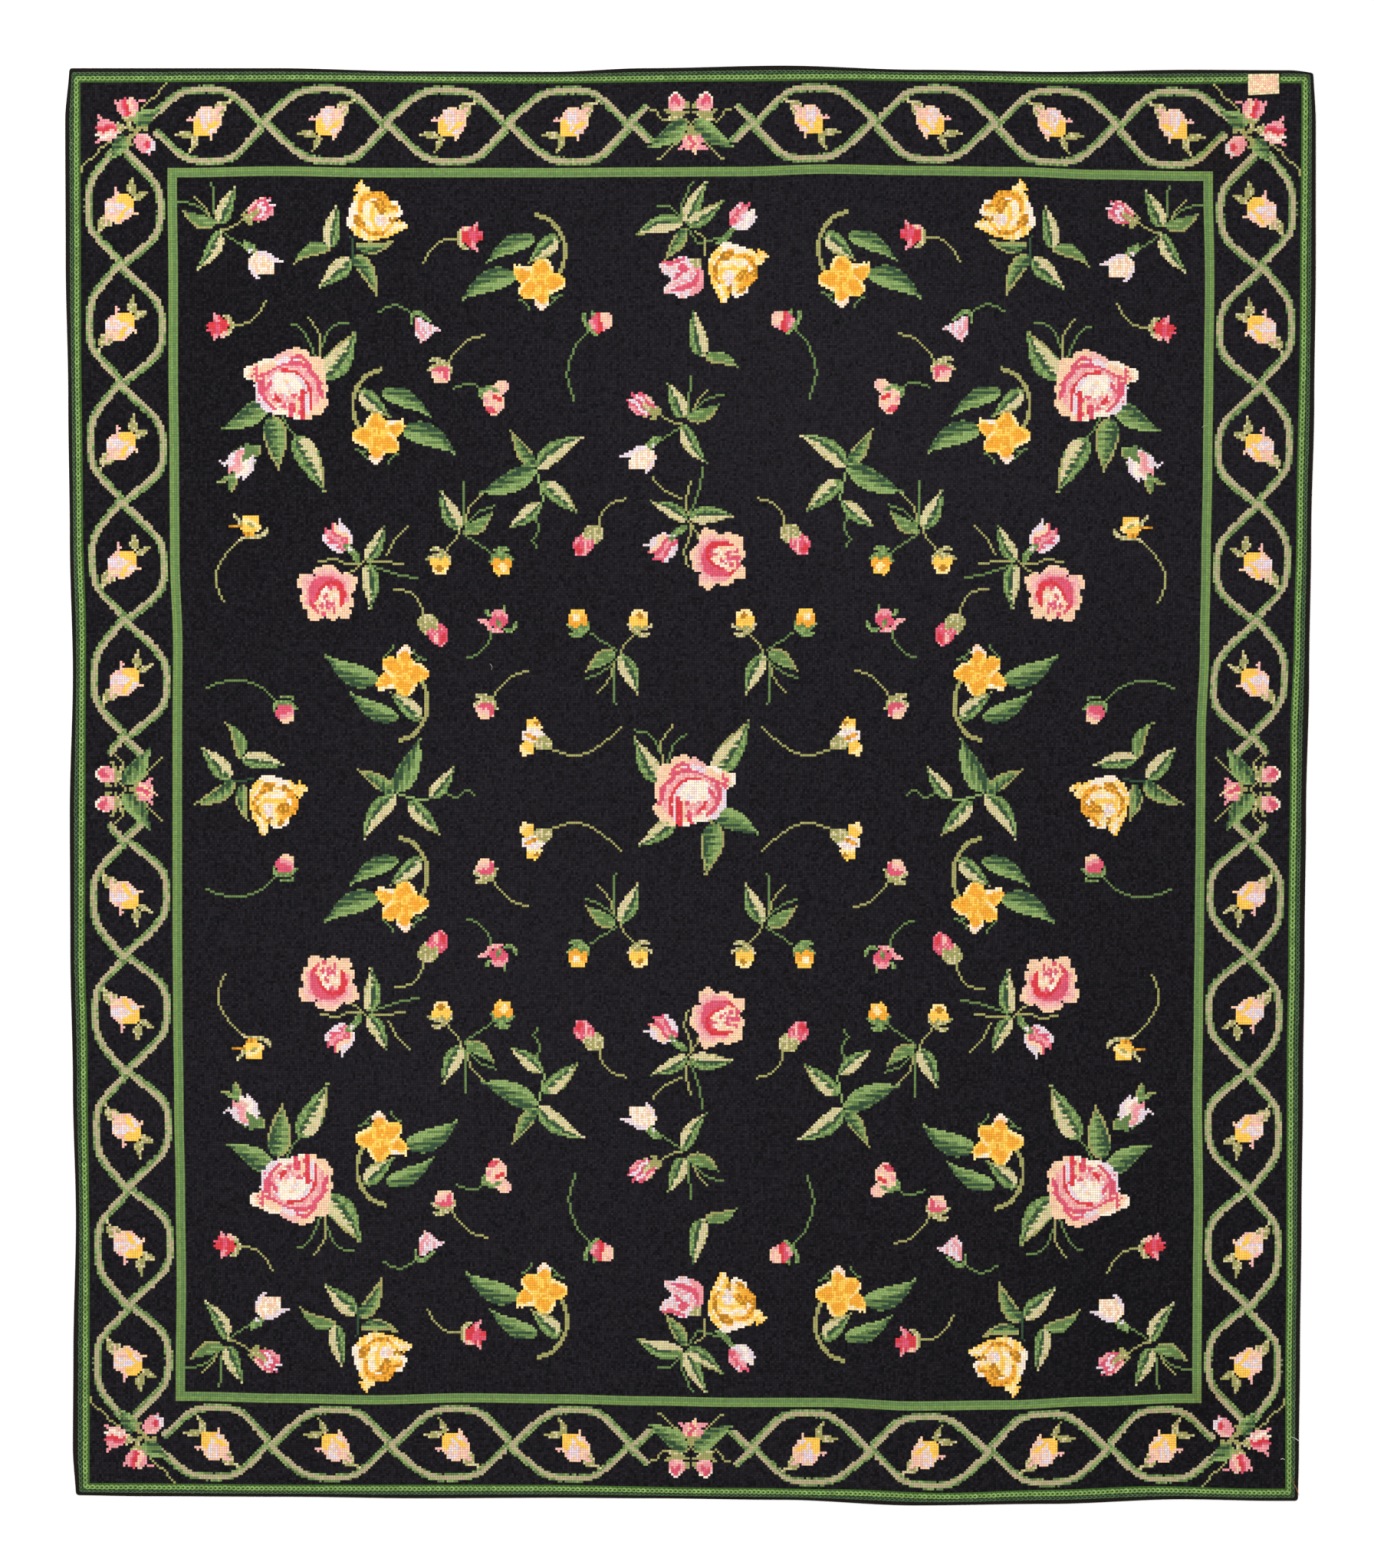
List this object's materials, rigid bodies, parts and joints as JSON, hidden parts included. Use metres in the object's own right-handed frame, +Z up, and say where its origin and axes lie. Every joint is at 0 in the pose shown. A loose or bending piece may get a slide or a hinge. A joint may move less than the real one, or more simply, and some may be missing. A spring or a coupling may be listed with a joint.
{
  "type": "needlepoint rug",
  "caption": "Flat stitched wool rug with a wavy rolled hem, low fold creases, and a small stitched patch sewn over the stripes of one corner.",
  "frame": {"origin": "on the floor under the middle of the rug", "axes": "+Z up out of the stitched face, +Y up the rug's length, +X to the right across it"},
  "size_m": [2.4458, 2.8156, 0.0081],
  "materials": {
    "stitched_wool": "matte black wool cross stitch with flowers and green stripes",
    "patch_wool": "matte cream and peach wool cross stitch"
  },
  "bodies": {
    "root": {"stitched_rug": "stitched_wool", "sewn_patch": "patch_wool"}
  },
  "joints": []
}
